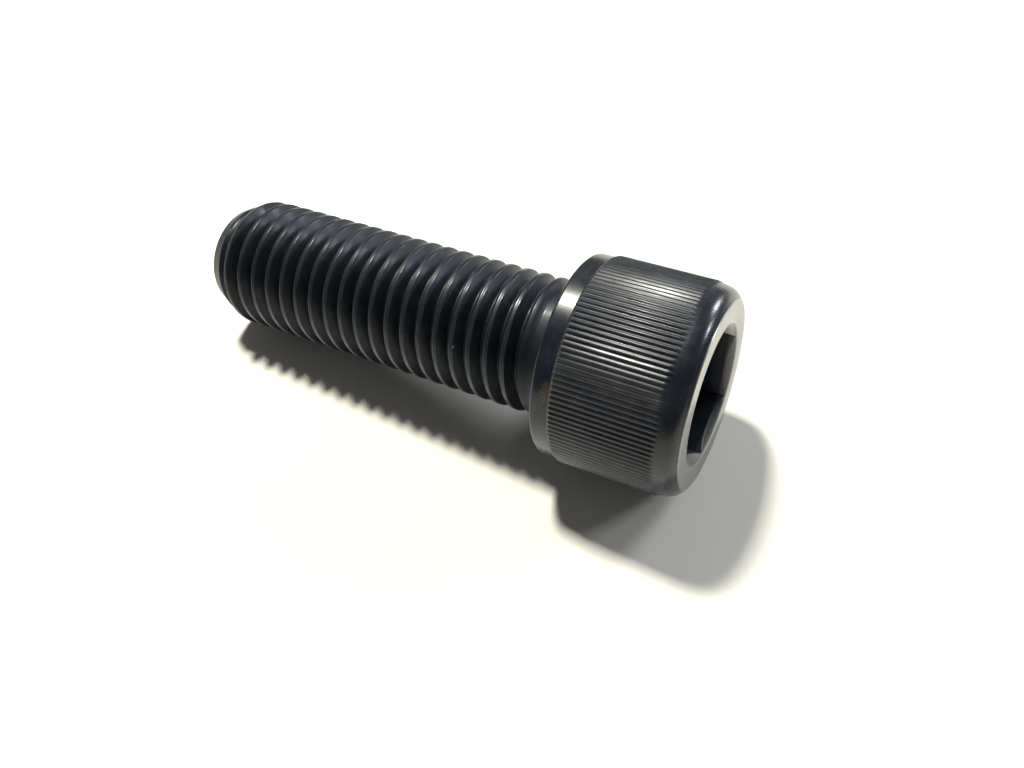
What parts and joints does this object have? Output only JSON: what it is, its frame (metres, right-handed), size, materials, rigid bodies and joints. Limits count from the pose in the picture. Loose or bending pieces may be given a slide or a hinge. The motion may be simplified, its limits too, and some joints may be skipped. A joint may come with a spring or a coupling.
{
  "type": "socket head cap screw",
  "caption": "Steel cap screw with a knurled cylindrical head, a hexagon socket and a coarse thread up to the head.",
  "frame": {"origin": "middle of the bearing face under the head", "axes": "+Z along the screw's axis from the head to the point of the thread; the screw stands on its head, with two corners of the socket along Y"},
  "size_m": [0.0284, 0.0284, 0.0753],
  "materials": {
    "black_oxide_steel": "oiled black oxide, satin"
  },
  "bodies": {
    "root": {"cap_screw": "black_oxide_steel"}
  },
  "joints": []
}
